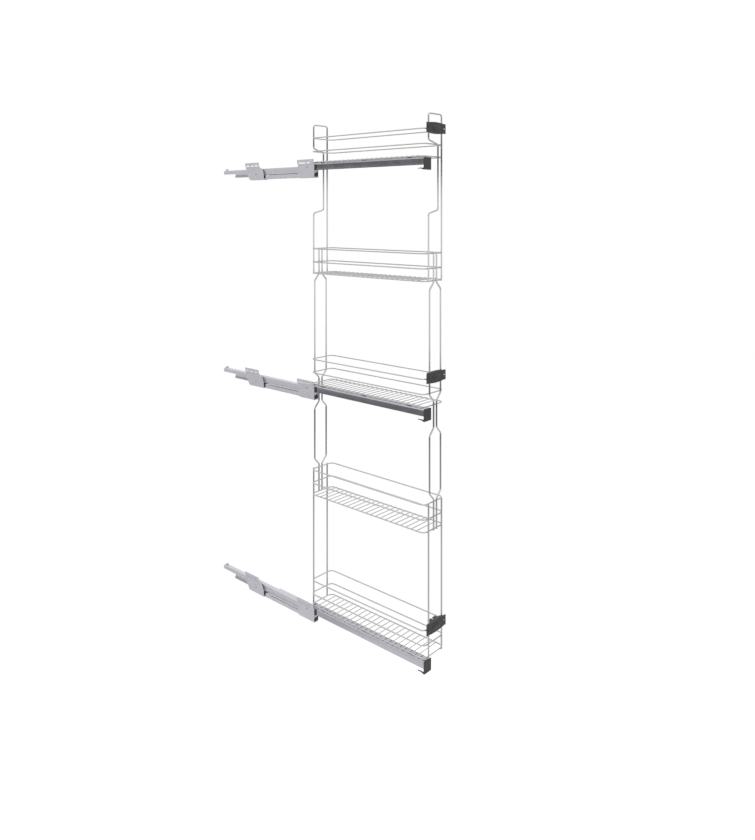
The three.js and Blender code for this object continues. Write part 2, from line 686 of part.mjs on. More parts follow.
/** The front bracket: a plain plate with one corner cut off at the back of its foot. */
function frontBracket(z) {
  const start = cabinetFrontY;
  const end = start + FRONT_BRACKET_LENGTH;
  const low = footBottom - SHEET;
  const high = FLANGE_TOP + SHEET;
  const outline = new THREE.Shape();
  outline.moveTo(start, low);
  outline.lineTo(end - PLATE_CORNER, low);
  outline.lineTo(end, low + PLATE_CORNER);
  outline.lineTo(end, high);
  outline.lineTo(start, high);
  return bracket(z, outline, start, end, start, FRONT_WINDOWS, FRONT_HOLE);
}

/** The rear bracket: its plate sweeps down and forwards in a curve from a shorter flange. */
function rearBracket(z) {
  const start = rearBracketY;
  const end = start + REAR_BRACKET_LENGTH;
  const flangeStart = end - REAR_FLANGE_LENGTH;
  const high = FLANGE_TOP + SHEET;
  const low = footBottom - SHEET;
  const [chamferLength, chamferHeight] = REAR_CHAMFER;
  const [pullBack, pullDown] = REAR_CURVE_PULL;
  const outline = new THREE.Shape();
  outline.moveTo(start, low);
  outline.lineTo(end - chamferLength, low);
  outline.lineTo(end, low + chamferHeight);
  outline.lineTo(end, high);
  outline.lineTo(flangeStart, high);
  outline.lineTo(flangeStart, windowBottom);
  outline.quadraticCurveTo(start + pullBack, windowBottom - pullDown, start, footBottom + REAR_CURVE_RISE);
  return bracket(z, outline, start, end, flangeStart, REAR_WINDOWS, REAR_HOLE);
}

// ---------------------------------------------------------------- plastic parts of the runners

/** The guide in the mouth of the fixed rail. It steadies the moving rail and takes the cap's hook. */
function frontGuide(z) {
  const face = cabinetFrontY - GUIDE_RIM;
  const mouth = cabinetFrontY - TOUCH_GAP;
  const back = cabinetFrontY + GUIDE_DEPTH;
  const innerX = channelX + SHEET + TOUCH_GAP;
  const outerX = innerX + GUIDE_WIDTH;
  const bottom = fixedBottom + SHEET + TOUCH_GAP;
  const top = bottom + GUIDE_HEIGHT;
  const hookFloor = capBottom - SLIDE_GAP;
  const hookSide = hookX + HOOK_WIDTH + SLIDE_GAP;
  const stripX = CARRIAGE_RAIL_X - SLIDE_GAP;
  const stripFront = cabinetFrontY - GUIDE_STRIP_REACH;
  const stripTop = CARRIAGE_RAIL_TOP - SHEET - COVER_FOLD;
  return geometryOf(
    joined([
      block([hookSide, face, bottom], [outerX, back, top]),
      block([innerX, face, bottom], [hookSide + GUIDE_WALL, back, hookFloor]),
      block([channelX, face, bottom], [innerX + TOUCH_GAP, mouth, top]),
      block([channelX, face, bottom], [stripX, mouth, carriageBottom]),
      block([channelX, stripFront, carriageBottom - SLIDE_GAP], [stripX, back, stripTop]),
    ]),
  ).translate(0, 0, z);
}

/** The soft-close damper: a slim housing pushed into the channel from behind, higher past its end. */
function damper(z) {
  const middleX = (channelX + fixedFarX) / 2;
  const end = fixedEndY + DAMPER_OVERHANG;
  const start = end - DAMPER_LENGTH;
  const step = channelEndY + SLIDE_GAP;
  const innerTop = ledge - SHEET / 2 - SLIDE_GAP;
  const outerTop = ledge + SHEET - TOUCH_GAP;
  const bottom = innerTop - DAMPER_HEIGHT;
  const side = new THREE.Shape();
  side.moveTo(start, bottom);
  side.lineTo(end - DAMPER_CORNER, bottom);
  side.lineTo(end, bottom + DAMPER_CORNER);
  side.lineTo(end, outerTop - DAMPER_CORNER);
  side.lineTo(end - DAMPER_CORNER, outerTop);
  side.lineTo(step, outerTop);
  side.lineTo(step, innerTop);
  side.lineTo(start, innerTop);
  return alongX(side, middleX - DAMPER_WIDTH / 2, middleX + DAMPER_WIDTH / 2).translate(0, 0, z);
}

/** The face of the end cap, seen from the front: a rectangle with round corners. */
function capFace() {
  const [left, right, low, high] = [capX, capFarX, capBottom, CAP_TOP];
  const face = new THREE.Shape();
  const corner = (x, z, turn) => face.absarc(x, z, CAP_CORNER, turn, turn + Math.PI / 2, false);
  corner(right - CAP_CORNER, low + CAP_CORNER, -Math.PI / 2);
  corner(right - CAP_CORNER, high - CAP_CORNER, 0);
  corner(left + CAP_CORNER, high - CAP_CORNER, Math.PI / 2);
  corner(left + CAP_CORNER, low + CAP_CORNER, Math.PI);
  return face;
}

/** The side of the hook: it rises from the foot of the cap, then runs back level under a small barb. */
function hookSideView(rootY) {
  const end = rootY + HOOK_LENGTH;
  const run = rootY + HOOK_RUN;
  const low = capBottom + HOOK_RISE;
  const high = low + HOOK_THICKNESS;
  const hook = new THREE.Shape();
  hook.moveTo(rootY, capBottom);
  hook.quadraticCurveTo(rootY + HOOK_RUN / 2, capBottom, run, low);
  hook.lineTo(end, low);
  hook.lineTo(end, high);
  hook.lineTo(run + 2 * HOOK_BARB, high);
  hook.lineTo(run + HOOK_BARB, high + HOOK_BARB);
  hook.lineTo(run, high);
  hook.quadraticCurveTo(rootY + HOOK_RUN / 2, high, rootY, capBottom + HOOK_ROOT);
  return hook;
}

/** The cap on the front end of the moving rail, with the hook that catches the front guide. */
function endCap(z) {
  const back = carriageFrontY - TOUCH_GAP;
  const front = back - CAP_THICKNESS;
  const middle = (front + back) / 2;
  const plugGap = COVER_FOLD / 3;
  const plug = block(
    [CARRIAGE_RAIL_X + SHEET + plugGap, middle, FIXED_RAIL_TOP + SLIDE_GAP],
    [carriageWebX - plugGap, back + CAP_PLUG_DEPTH, CARRIAGE_RAIL_TOP - SHEET - plugGap],
  );
  const hook = alongX(hookSideView(middle), hookX, hookX + HOOK_WIDTH);
  return geometryOf(joined([alongY(capFace(), front, back), plug, hook])).translate(0, 0, z);
}

for (const [name, level] of Object.entries(runnerLevels)) {
  const z = floorZ(level);
  const fixedCageY = cabinetFrontY + FIXED_CAGE_START;
  const movingCageY = memberStartY + MOVING_CAGE_START;
  add(`${name}_fixed_rail`, fixedRail(z), zincSheet);
  add(`${name}_front_bracket`, frontBracket(z), zincSheet);
  add(`${name}_rear_bracket`, rearBracket(z), zincSheet);
  add(`${name}_front_guide`, frontGuide(z), anthracitePlastic);
  add(`${name}_damper`, damper(z), greyPlastic);
  add(`${name}_middle_member`, middleMember(z), zincSheet);
  add(`${name}_fixed_roller_cage`, rollerCage(z, fixedWebX, 1, fixedCageY), hardenedSteel);
  add(`${name}_moving_roller_cage`, rollerCage(z, carriageWebX, -1, movingCageY), hardenedSteel);
  add(`${name}_carriage_rail`, carriageRail(z), brightRail);
  add(`${name}_end_cap`, endCap(z), anthracitePlastic);
}

// ---------------------------------------------------------------- door brackets

/** The slot through the ear on one side. */
function earSlot(side, faceY) {
  const outward = DOOR_BRACKET_BODY / 2 + DOOR_EAR_WIDTH - DOOR_SLOT_RIM;
  const reach = [side * (outward - DOOR_SLOT_LENGTH), side * outward].sort((a, b) => a - b);
  return block(
    [centreX + reach[0], faceY - DOOR_EAR_THICKNESS, -DOOR_SLOT_HEIGHT / 2],
    [centreX + reach[1], faceY + 2 * DOOR_EAR_THICKNESS, DOOR_SLOT_HEIGHT / 2],
  );
}

/** A moulded bracket clipped over both front wires, with a slotted ear on each side for the door. */
function doorBracket(z, wireSpread) {
  const half = DOOR_BRACKET_BODY / 2;
  const faceY = frontWireY - FRAME_WIRE / 2 - DOOR_EAR_THICKNESS;
  const backY = faceY + DOOR_BODY_DEPTH;
  const top = DOOR_BRACKET_HEIGHT / 2;
  const earReach = half + DOOR_EAR_WIDTH;
  const outline = new THREE.Shape();
  outline.moveTo(-half, -top + DOOR_BODY_CROWN);
  outline.quadraticCurveTo(0, -top - DOOR_BODY_CROWN, half, -top + DOOR_BODY_CROWN);
  outline.lineTo(half, top - DOOR_BODY_CROWN);
  outline.quadraticCurveTo(0, top + DOOR_BODY_CROWN, -half, top - DOOR_BODY_CROWN);
  const body = solidOf(alongY(outline, faceY, backY).translate(centreX, 0, 0));
  const ears = solidOf(
    block(
      [centreX - earReach, faceY, -DOOR_EAR_HEIGHT / 2],
      [centreX + earReach, faceY + DOOR_EAR_THICKNESS, DOOR_EAR_HEIGHT / 2],
    ),
  );
  const dome = new THREE.SphereGeometry(1, 12, 8);
  dome.scale(half * DOOR_DOME_REACH, DOOR_DOME_HEIGHT, top * DOOR_DOME_REACH);
  dome.translate(centreX, faceY + SLIDE_GAP, 0);
  const wireRoom = FRAME_WIRE / 2 + TOUCH_GAP;
  const cuts = [];
  for (const side of [-1, 1]) {
    const wireX = centreX + (side * wireSpread) / 2;
    const groove = block(
      [wireX - wireRoom, frontWireY - wireRoom, -DOOR_BRACKET_HEIGHT],
      [wireX + wireRoom, backY + TOUCH_GAP, DOOR_BRACKET_HEIGHT],
    );
    cuts.push(earSlot(side, faceY), groove);
  }
  const railRoom = RAIL_WIRE / 2 + SLIDE_GAP;
  const railNotch = block(
    [centreX - earReach, basketFrontY - railRoom, -DOOR_BRACKET_RISE - railRoom],
    [centreX + earReach, backY + TOUCH_GAP, -DOOR_BRACKET_RISE + railRoom],
  );
  cuts.push(railNotch);
  const whole = body.add(ears).add(solidOf(dome));
  const bracketSolid = cuts.map(solidOf).reduce((part, cut) => part.subtract(cut), whole);
  return geometryOf(bracketSolid).translate(0, 0, z);
}

for (const [name, level] of Object.entries(runnerLevels)) {
  const z = floorZ(level) + TOP_RAIL_RISE + DOOR_BRACKET_RISE;
  const wireSpread = level === middleLevel ? MIDDLE_SPREAD : FRAME_SPREAD;
  add(`${name}_door_bracket`, doorBracket(z, wireSpread), anthracitePlastic);
}

export default unit;
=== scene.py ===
import math

import bmesh
import bpy
from mathutils import Euler, Matrix, Vector


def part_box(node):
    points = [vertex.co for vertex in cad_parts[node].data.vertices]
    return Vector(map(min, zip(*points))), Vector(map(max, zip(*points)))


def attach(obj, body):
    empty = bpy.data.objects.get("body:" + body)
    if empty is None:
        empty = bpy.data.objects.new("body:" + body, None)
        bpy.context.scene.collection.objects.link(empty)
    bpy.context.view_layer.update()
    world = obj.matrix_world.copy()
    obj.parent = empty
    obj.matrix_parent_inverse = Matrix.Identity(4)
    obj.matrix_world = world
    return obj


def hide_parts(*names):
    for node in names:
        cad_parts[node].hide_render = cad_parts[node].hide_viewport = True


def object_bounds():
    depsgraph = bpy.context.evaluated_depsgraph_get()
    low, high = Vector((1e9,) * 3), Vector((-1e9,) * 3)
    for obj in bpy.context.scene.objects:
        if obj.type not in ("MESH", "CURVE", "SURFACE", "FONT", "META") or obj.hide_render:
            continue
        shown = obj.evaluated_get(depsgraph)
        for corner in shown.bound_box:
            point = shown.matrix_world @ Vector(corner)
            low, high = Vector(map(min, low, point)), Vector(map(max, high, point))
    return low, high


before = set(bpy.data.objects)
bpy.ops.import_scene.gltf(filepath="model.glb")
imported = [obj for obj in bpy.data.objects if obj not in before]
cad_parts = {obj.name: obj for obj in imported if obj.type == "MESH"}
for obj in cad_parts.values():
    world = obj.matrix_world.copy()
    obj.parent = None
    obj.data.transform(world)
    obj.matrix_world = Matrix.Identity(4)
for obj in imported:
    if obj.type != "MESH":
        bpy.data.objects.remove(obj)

cad_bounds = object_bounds()
scene = bpy.context.scene


# The view: a level camera in front of the cabinet and to its wall side, a little above the
# middle of the unit. The picture keeps the horizon high, so the lens is shifted down.
CAMERA_PLACE = (-1.731, -1.8463, 1.2908)
CAMERA_YAW = -48.6
LENS = 32.69  # in millimetres, like the two sides of the sensor
SENSOR_HEIGHT = 36
SENSOR_WIDTH = 24
IMAGE_HEIGHT = 840  # in pixel rows
HORIZON_ROW = 210.9
SIDE_SHIFT = -0.0003  # as a share of the picture
VIEW_DEPTH = 50

camera_data = bpy.data.cameras.new("camera")
camera_data.sensor_fit = "VERTICAL"
camera_data.sensor_height = SENSOR_HEIGHT
camera_data.sensor_width = SENSOR_WIDTH
camera_data.lens = LENS
camera_data.shift_x = SIDE_SHIFT
camera_data.shift_y = (HORIZON_ROW - (IMAGE_HEIGHT - 1) / 2) / IMAGE_HEIGHT
camera_data.clip_end = VIEW_DEPTH
camera = bpy.data.objects.new("camera", camera_data)
camera.location = CAMERA_PLACE
camera.rotation_euler = Euler((math.radians(90), 0, math.radians(CAMERA_YAW)))
scene.collection.objects.link(camera)
scene.camera = camera


# The studio: a small pale floor well below the unit, in a white room whose soft light has two
# darker gaps, one just above the height of the eye and one some way below it. They give bright
# wire its dark edges. Looked at directly, the room is plain white.
FLOOR_DROP = 0.7
FLOOR_RADIUS = 1.2
FLOOR_SIDES = 64
FLOOR_COLOUR = (0.93, 0.93, 0.93, 1)
ROOM_COLOUR = (1, 1, 1, 1)
ROOM_BANDS = (  # elevations in degrees, each with the strength of the light from there
    (-90, 0.90), (-34, 0.86), (-24, 0.84), (-22, 0.78), (-20, 0.46), (-17.5, 0.52), (-16, 0.27),
    (-12.6, 0.18), (-11.7, 0.60), (-10.8, 1.02), (-5, 1.14), (1.6, 1.18), (2.6, 0.30), (3.3, 0.07),
    (5.0, 0.09), (6.2, 0.70), (11, 0.90), (18, 1.00), (40, 1.25), (90, 1.40),
)
STRONGEST = max(strength for elevation, strength in ROOM_BANDS)
PANEL_SIZE = (2.4, 1.6)
PANEL_POWER = 10
PANEL_PLACE = (-2.6, 1.4, 3.0)
PANEL_AIM = (0, 0, 0.7)


class Value:
    """A shader socket that takes part in sums."""

    def __init__(self, shading, socket):
        self.shading = shading
        self.socket = socket

    def maths(self, operation, *terms):
        return self.shading.node("ShaderNodeMath", {"operation": operation}, dict(enumerate(terms)), 0)

    def __add__(self, other):
        return self.maths("ADD", self, other)

    def __radd__(self, other):
        return self.maths("ADD", other, self)

    def __mul__(self, other):
        return self.maths("MULTIPLY", self, other)

    def __rmul__(self, other):
        return self.maths("MULTIPLY", other, self)


class Shading:
    """A tree of shader nodes under construction."""

    def __init__(self, tree):
        self.tree = tree

    def node(self, kind, settings, inputs, output):
        """Adds a node: its settings first, then the values or links of its sockets."""
        made = self.tree.nodes.new(kind)
        for name, value in settings.items():
            if name == "stops":
                stops = made.color_ramp.elements
                while len(stops) < len(value):
                    stops.new(1)
                for stop, (position, colour) in zip(stops, value):
                    stop.position = position
                    stop.color = colour
            else:
                setattr(made, name, value)
        for name, value in inputs.items():
            self.fill(made.inputs[name], value)
        return Value(self, made.outputs[output])

    def fill(self, socket, value):
        if isinstance(value, Value):
            self.tree.links.new(value.socket, socket)
        else:
            socket.default_value = value


class Finish(Shading):
    """A material under construction."""

    def __init__(self, name):
        self.material = bpy.data.materials.new(name)
        self.material.use_nodes = True
        super().__init__(self.material.node_tree)
        self.surface = self.tree.nodes["Principled BSDF"]
        self.place = self.node("ShaderNodeTexCoord", {}, {}, "Object")

    def cloud(self, scale, detail, stretch=(1, 1, 1)):
        """Soft patches from 0 to 1, about 1 / scale metres across, drawn out along an axis by stretch."""
        spread = self.node("ShaderNodeMapping", {}, {"Vector": self.place, "Scale": stretch}, "Vector")
        sockets = {"Vector": spread, "Scale": scale, "Detail": detail}
        return self.node("ShaderNodeTexNoise", {}, sockets, "Fac")

    def cells(self, scale, output):
        """Cells about 1 / scale metres across: the distance from their middles, or a shade for each."""
        return self.node("ShaderNodeTexVoronoi", {}, {"Vector": self.place, "Scale": scale}, output)

    def mix(self, share, low, high):
        """A blend of two colours, through the colour sockets of a Mix node."""
        return self.node("ShaderNodeMix", {"data_type": "RGBA"}, {0: share, 6: (*low, 1), 7: (*high, 1)}, 2)

    def bump(self, height, distance):
        self.set(Normal=self.node("ShaderNodeBump", {}, {"Height": height, "Distance": distance}, "Normal"))

    def set(self, **values):
        for name, value in values.items():
            self.fill(self.surface.inputs[name.replace("_", " ")], value)


def band_stop(elevation, strength):
    """A stop on a ramp from straight down to straight up, its grey a share of the strongest light."""
    grey = strength / STRONGEST
    return (math.sin(math.radians(elevation)) + 1) / 2, (grey, grey, grey, 1)


scene.view_settings.view_transform = "Standard"
world = bpy.data.worlds.new("room")
world.use_nodes = True
room = Shading(world.node_tree)
direction = room.node("ShaderNodeTexCoord", {}, {}, "Generated")
upward = room.node("ShaderNodeSeparateXYZ", {}, {"Vector": direction}, "Z")
stops = [band_stop(*band) for band in ROOM_BANDS]
bands = room.node("ShaderNodeValToRGB", {"stops": stops}, {"Fac": upward * 0.5 + 0.5}, "Color")
room_light = room.node("ShaderNodeBackground", {}, {"Color": bands, "Strength": STRONGEST}, "Background")
room_wall = room.node("ShaderNodeBackground", {}, {"Color": ROOM_COLOUR, "Strength": 1}, "Background")
looked_at = room.node("ShaderNodeLightPath", {}, {}, "Is Camera Ray")
shown = room.node("ShaderNodeMixShader", {}, {0: looked_at, 1: room_light, 2: room_wall}, "Shader")
room.fill(world.node_tree.nodes["World Output"].inputs["Surface"], shown)
scene.world = world

panel_data = bpy.data.lights.new("panel", "AREA")
panel_data.shape = "RECTANGLE"
panel_data.size, panel_data.size_y = PANEL_SIZE
panel_data.energy = PANEL_POWER
panel = bpy.data.objects.new("panel", panel_data)
panel.visible_glossy = False
panel.location = PANEL_PLACE
panel_heading = Vector(PANEL_AIM) - Vector(PANEL_PLACE)
panel.rotation_euler = panel_heading.to_track_quat("-Z", "Y").to_euler()
scene.collection.objects.link(panel)

floor_mesh = bmesh.new()
bmesh.ops.create_circle(floor_mesh, cap_ends=True, segments=FLOOR_SIDES, radius=FLOOR_RADIUS)
bmesh.ops.translate(floor_mesh, verts=floor_mesh.verts, vec=(0, 0, cad_bounds[0][2] - FLOOR_DROP))
floor_data = bpy.data.meshes.new("floor")
floor_mesh.to_mesh(floor_data)
floor_mesh.free()
floor = bpy.data.objects.new("floor", floor_data)
scene.collection.objects.link(floor)
floor_finish = Finish("pale_floor")
floor_finish.set(Base_Color=FLOOR_COLOUR, Roughness=0.9, Specular_IOR_Level=0)
floor_data.materials.append(floor_finish.material)


# Basket rails: 4 mm steel wire, bent into a long ring with round corners, butt-welded and
# chrome-plated. Each basket has one at the top and one halfway up, with nothing between
# them but the end frames.
BASKETS = (1, 2, 3, 4, 5)
RAIL_WIRE = 0.004
RAIL_SOLID = 0.0037  # height of the faceted solid that a rail stands for
RAIL_SIDES = 12
BASKET_LENGTH = 0.4708
BASKET_WIDTH = 0.0945
BASKET_CORNER = 0.016
BEND_STEPS = 6
END_EASE = 1 / 8  # of a wire's diameter
SEAM = 0.00001  # points this close are one
CREASE = 38  # edges that turn by more degrees than this stay crisp
CHROME = ((0.46, 0.46, 0.465), (0.54, 0.54, 0.545))

chrome = Finish("chrome_wire")
haze = chrome.cloud(70, 3)
streaks = chrome.cloud(420, 2, (1, 0.2, 0.2))
specks = chrome.cloud(1800, 1)
chrome.set(Base_Color=chrome.mix(haze, *CHROME))
chrome.set(Metallic=1, Roughness=0.06 + 0.06 * haze + 0.04 * streaks)
chrome.bump(0.7 * streaks + 0.3 * specks, 0.000015)


def ease(made, edges, radius):
    """Rounds edges off in two steps. Where one of them has too little room, all are rounded by less."""
    steps = {"segments": 2, "profile": 0.5, "affect": "EDGES", "material": -1, "clamp_overlap": True}
    bmesh.ops.bevel(made, geom=list(edges), offset=radius, **steps)


def bent_wire(corners, diameter, bend, closed=False, sides=RAIL_SIDES):
    """Draws a ring of vertices along the legs of a path, and swings it round at each bend."""
    wire = bmesh.new()
    points = [Vector(corner) for corner in corners]
    if closed:
        middle = (points[-1] + points[0]) / 2
        points = [middle, *points, middle]
    heading = (points[1] - points[0]).normalized()
    onto_path = Matrix.Translation(points[0]) @ heading.to_track_quat("Z", "Y").to_matrix().to_4x4()
    bmesh.ops.create_circle(wire, segments=sides, radius=diameter / 2, matrix=onto_path)
    first = list(wire.edges)
    ring = first
    here = points[0]
    for corner, after in zip(points[1:], [*points[2:], None]):
        goes_to = (after - corner).normalized() if after else heading
        turn = heading.angle(goes_to, 0)
        reach = bend * math.tan(turn / 2)
        leg = bmesh.ops.extrude_edge_only(wire, edges=ring)["geom"]
        stop = corner - heading * reach
        drawn = [item for item in leg if isinstance(item, bmesh.types.BMVert)]
        bmesh.ops.translate(wire, verts=drawn, vec=stop - here)
        ring = [item for item in leg if isinstance(item, bmesh.types.BMEdge)]
        if turn > 0:
            axis = heading.cross(goes_to).normalized()
            centre = stop + axis.cross(heading) * bend
            swing = {"cent": centre, "axis": axis, "angle": turn, "steps": BEND_STEPS}
            swung = bmesh.ops.spin(wire, geom=ring, dvec=(0, 0, 0), **swing)["geom_last"]
            ring = [item for item in swung if isinstance(item, bmesh.types.BMEdge)]
        here = corner + goes_to * reach
        heading = goes_to
    if closed:
        bmesh.ops.remove_doubles(wire, verts=wire.verts, dist=SEAM)
    else:
        bmesh.ops.edgeloop_fill(wire, edges=first)
        bmesh.ops.edgeloop_fill(wire, edges=ring)
        ease(wire, [*first, *ring], diameter * END_EASE)
    bmesh.ops.recalc_face_normals(wire, faces=wire.faces)
    return wire


def fit(made, name, finish, body, slot, *nodes):
    """Makes a finished piece of a bmesh: smooth up to the crease angle, and fixed to its body."""
    for face in made.faces:
        face.smooth = True
    for edge in made.edges:
        edge.smooth = len(edge.link_faces) == 2 and edge.calc_face_angle(0) < math.radians(CREASE)
    data = bpy.data.meshes.new(name)
    made.to_mesh(data)
    made.free()
    piece = bpy.data.objects.new(name, data)
    scene.collection.objects.link(piece)
    data.materials.append(finish.material)
    shading = piece.modifiers.new("even_shading", "WEIGHTED_NORMAL")
    shading.weight = 100
    shading.keep_sharp = True
    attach(piece, body)
    if nodes:
        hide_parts(*nodes)


basket_low, basket_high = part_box("basket_1_top_rail")
centre_x = (basket_low.x + basket_high.x) / 2
basket_y = (basket_low.y + basket_high.y) / 2


def rail_ring(height):
    """The wire of one basket rail, with its centre line at a height."""
    left, right = centre_x - BASKET_WIDTH / 2, centre_x + BASKET_WIDTH / 2
    front, back = basket_y - BASKET_LENGTH / 2, basket_y + BASKET_LENGTH / 2
    corners = [(left, front, height), (right, front, height), (right, back, height), (left, back, height)]
    return bent_wire(corners, RAIL_WIRE, BASKET_CORNER, closed=True)


for basket in BASKETS:
    for level in ("middle", "top"):
        node = f"basket_{basket}_{level}_rail"
        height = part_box(node)[0].z + RAIL_SOLID / 2
        fit(rail_ring(height), f"{node}_wire", chrome, "tower", "chrome_wire", node)


# Basket floors: a third rail like the others, with 22 thinner cross wires laid over it at a
# 20 mm pitch and resistance-welded at both ends. Each weld presses the cross wire a little way
# into the rail and leaves a small smooth bead around it.
FLOOR_WIRE = 0.0028
FLOOR_WIRE_SIDES = 10
FLOOR_WIRES = 22
FLOOR_PITCH = 0.020
WELD_BITE = 0.0012
BEAD = (0.0016, 0.0019, 0.0009)  # half its size each way
BEAD_DROP = FLOOR_WIRE / 3  # below the centre line of its cross wire
BEAD_SIDES = 8
BEAD_RINGS = 5


def floor_height(basket):
    """The height of the centre line of a basket's lowest rail."""
    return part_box(f"basket_{basket}_floor")[0].z + RAIL_SOLID / 2


def add_wire(made, wire):
    """Adds one wire to the others of a piece."""
    data = bpy.data.meshes.new("wire")
    wire.to_mesh(data)
    wire.free()
    made.from_mesh(data)
    bpy.data.meshes.remove(data)


def add_bead(made, place, size):
    """Adds one weld bead, a small flattened ball."""
    shape = Matrix.Translation(place) @ Matrix.Diagonal((*size, 1))
    bmesh.ops.create_uvsphere(made, u_segments=BEAD_SIDES, v_segments=BEAD_RINGS, radius=1, matrix=shape)


for basket in BASKETS:
    height = floor_height(basket)
    basket_floor = rail_ring(height)
    over = height + (RAIL_WIRE + FLOOR_WIRE) / 2 - WELD_BITE
    for i in range(FLOOR_WIRES):
        y = basket_y + (i - (FLOOR_WIRES - 1) / 2) * FLOOR_PITCH
        ends = [(centre_x - BASKET_WIDTH / 2, y, over), (centre_x + BASKET_WIDTH / 2, y, over)]
        add_wire(basket_floor, bent_wire(ends, FLOOR_WIRE, 0, sides=FLOOR_WIRE_SIDES))
        for x, y, level in ends:
            add_bead(basket_floor, (x, y, level - BEAD_DROP), BEAD)
    node = f"basket_{basket}_floor"
    fit(basket_floor, f"{node}_wires", chrome, "tower", "chrome_wire", node)


# Upper end frames: one 5 mm wire each, bent into a tall narrow hoop over the top basket. The
# leg nearer the wall steps aside under that basket, so that the upper runner passes it, and
# both legs end on the floor of the basket below.
ENDS = ("front", "rear")
FRAME_WIRE = 0.005
FRAME_SIDES = 16
FRAME_SPREAD = 0.0628
HOOP_TOP = 0.1255  # above the floor of the top basket, as the jog's top and bottom are
HOOP_BEND = 0.0075
JOG_ASIDE = 0.014
JOG_TOP = 0.0475
JOG_BOTTOM = -0.156
JOG_RUN = 0.011  # height of a slanted stretch
WIRE_TAIL = 0.002  # a frame wire ends this far past the last rail's centre line


def frame_y(end):
    """The place of the frame at one end, along the baskets."""
    low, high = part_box(f"{end}_hoop")
    return (low.y + high.y) / 2


for end in ENDS:
    y = frame_y(end)
    near, far = centre_x - FRAME_SPREAD / 2, centre_x + FRAME_SPREAD / 2
    top_floor = floor_height(5)
    tail = floor_height(4) - WIRE_TAIL
    path = [
        (far, y, tail),
        (far, y, top_floor + HOOP_TOP),
        (near, y, top_floor + HOOP_TOP),
        (near, y, top_floor + JOG_TOP),
        (centre_x + JOG_ASIDE, y, top_floor + JOG_TOP - JOG_RUN),
        (centre_x + JOG_ASIDE, y, top_floor + JOG_BOTTOM),
        (near, y, top_floor + JOG_BOTTOM - JOG_RUN),
        (near, y, tail),
    ]
    hoop = bent_wire(path, FRAME_WIRE, HOOP_BEND, sides=FRAME_SIDES)
    fit(hoop, f"{end}_hoop_wire", chrome, "tower", "chrome_wire", f"{end}_hoop")


# Middle end frames: two 5 mm wires at each end, mirror images of each other. They draw close
# together to lie against the ends of baskets 4 and 2 and to pass the middle runner, and
# spread apart again between.
SIDES = (("near", -1), ("far", 1))
MIDDLE_SPREAD = 0.053
NARROW_SPREAD = 0.0142
FRAME_BEND = 0.008
TOP_RAIL_RISE = 0.0805
NECK_RUN = 0.020  # height of a slanted stretch
NECK_BELOW_FLOOR = 0.005
NECK_OVER_RUNNER = 0.013
NECK_UNDER_RUNNER = 0.0665
NECK_OVER_RAIL = 0.0087

for end in ENDS:
    y = frame_y(end)
    for side, sign in SIDES:
        wide = centre_x + sign * MIDDLE_SPREAD / 2
        narrow = centre_x + sign * NARROW_SPREAD / 2
        upper_neck = floor_height(4) - NECK_BELOW_FLOOR
        runner_neck_top = floor_height(3) + NECK_OVER_RUNNER
        runner_neck_foot = floor_height(3) - NECK_UNDER_RUNNER
        lower_neck = floor_height(2) + TOP_RAIL_RISE + NECK_OVER_RAIL
        path = [
            (narrow, y, floor_height(4) + TOP_RAIL_RISE + WIRE_TAIL),
            (narrow, y, upper_neck),
            (wide, y, upper_neck - NECK_RUN),
            (wide, y, runner_neck_top + NECK_RUN),
            (narrow, y, runner_neck_top),
            (narrow, y, runner_neck_foot),
            (wide, y, runner_neck_foot - NECK_RUN),
            (wide, y, lower_neck + NECK_RUN),
            (narrow, y, lower_neck),
            (narrow, y, floor_height(2) - WIRE_TAIL),
        ]
        node = f"{end}_middle_wire_{side}"
        middle_wire = bent_wire(path, FRAME_WIRE, FRAME_BEND, sides=FRAME_SIDES)
        fit(middle_wire, f"{node}_bent", chrome, "tower", "chrome_wire", node)


# Lower end frames: two straight lengths of the same 5 mm wire at each end, as far apart as the
# legs of the hoops, from the top rail of basket 2 to the floor of basket 1.
for end in ENDS:
    y = frame_y(end)
    for side, sign in SIDES:
        x = centre_x + sign * FRAME_SPREAD / 2
        top, tail = floor_height(2) + TOP_RAIL_RISE + WIRE_TAIL, floor_height(1) - WIRE_TAIL
        node = f"{end}_lower_wire_{side}"
        lower_wire = bent_wire([(x, y, top), (x, y, tail)], FRAME_WIRE, 0, sides=FRAME_SIDES)
        fit(lower_wire, f"{node}_straight", chrome, "tower", "chrome_wire", node)


# Welds between frames and baskets: wherever a frame wire crosses the end of a rail, the two
# are spot-welded before plating, and the joint shows as a small smooth bead between them.
RAIL_RISES = (0, 0.0365, TOP_RAIL_RISE)
TOUCH_GAP = 0.0001  # between a frame wire and the rails that it is welded to
SPOT = (0.0019, 0.0010, 0.0015)  # half the size of a bead each way
leg, spread, neck = FRAME_SPREAD / 2, MIDDLE_SPREAD / 2, NARROW_SPREAD / 2
CROSSINGS = {  # for each basket, where the wires cross its lower, middle and top rail
    5: ((JOG_ASIDE, leg), (JOG_ASIDE, leg), (-leg, leg)),
    4: ((-leg, -neck, neck, leg),) * 3,
    3: ((-neck, neck), (-spread, spread), (-spread, spread)),
    2: ((-leg, -neck, neck, leg),) * 3,
    1: ((-leg, leg),) * 3,
}

for end, inward in (("front", 1), ("rear", -1)):
    welds = bmesh.new()
    y = frame_y(end) + inward * (FRAME_WIRE + TOUCH_GAP) / 2
    for basket, rows in CROSSINGS.items():
        for rise, offsets in zip(RAIL_RISES, rows):
            for offset in offsets:
                add_bead(welds, (centre_x + offset, y, floor_height(basket) + rise), SPOT)
    fit(welds, f"{end}_welds", chrome, "tower", "chrome_wire")


